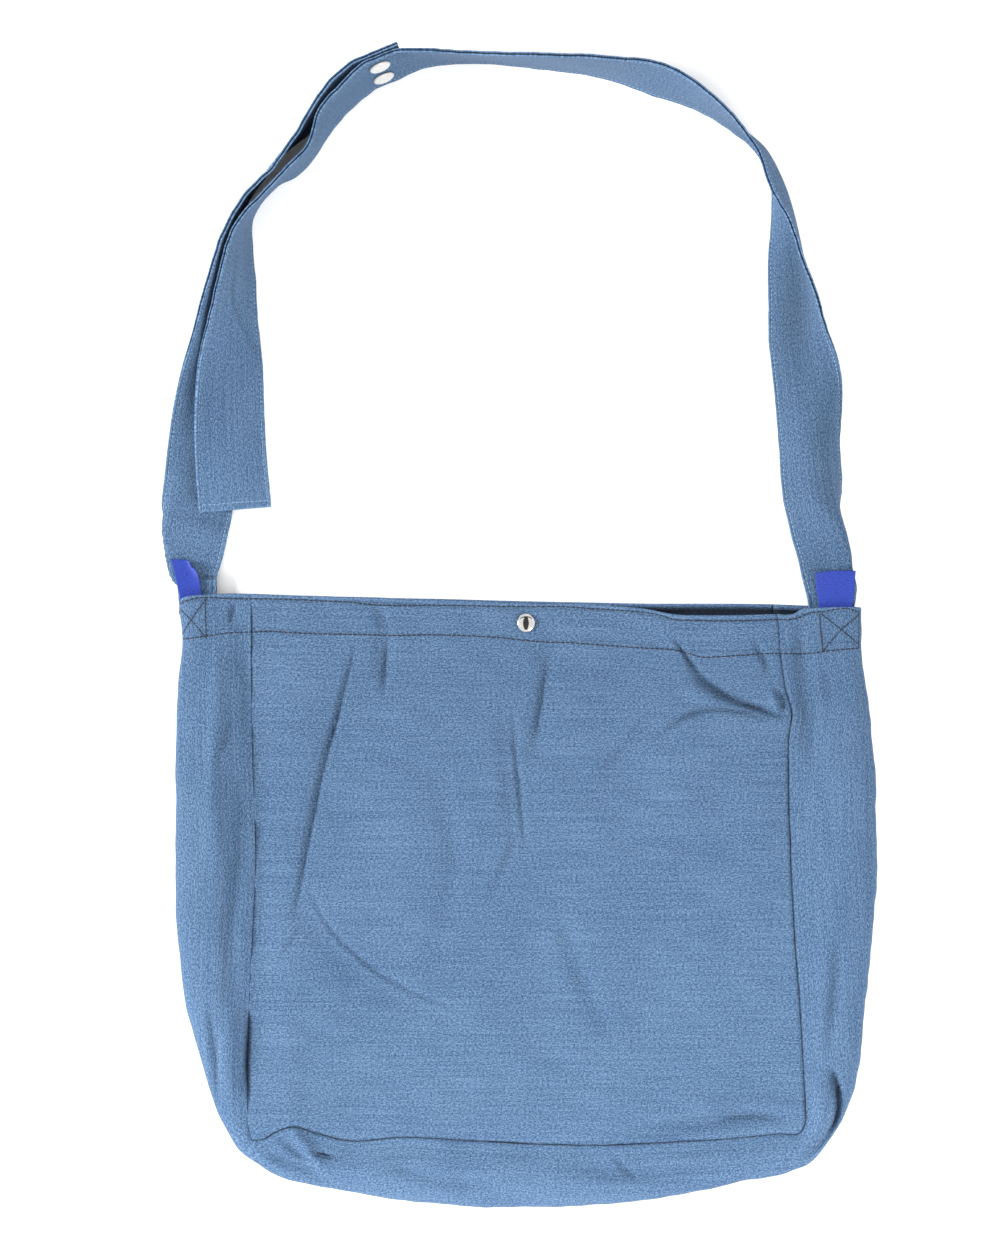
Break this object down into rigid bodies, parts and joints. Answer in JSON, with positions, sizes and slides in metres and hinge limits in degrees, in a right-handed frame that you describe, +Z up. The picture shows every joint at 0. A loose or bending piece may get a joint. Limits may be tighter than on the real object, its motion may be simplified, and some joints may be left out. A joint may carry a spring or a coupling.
{
  "type": "denim shoulder tote bag",
  "caption": "Soft denim tote lying on its back: panels, a side and base strip, hemmed mouth with a snap, woven tags, and a wide strap in bands that are snapped together.",
  "frame": {"origin": "on the underside of the back panel, at the middle of the panel, where the bag rests on the surface", "axes": "+X to the bag's right as seen from above, +Y from its base towards the strap, +Z up from the surface it lies on, out of the front panel"},
  "size_m": [0.493, 0.7972, 0.0507],
  "materials": {
    "denim": "plain-woven light blue denim, washed, matte",
    "tag_weave": "fine woven royal blue tape, slight sheen",
    "nickel": "polished nickel plate",
    "enamel": "white enamelled caps, satin"
  },
  "bodies": {
    "root": {"front_panel": "denim", "back_panel": "denim", "side_and_base_strip": "denim", "strap_long_band": "denim", "strap_short_band": "denim", "strap_snap_upper": "enamel", "strap_snap_lower": "enamel", "closure_snap_front": "nickel", "closure_snap_back": "nickel", "left_tag": "tag_weave", "right_tag": "tag_weave"}
  },
  "joints": []
}
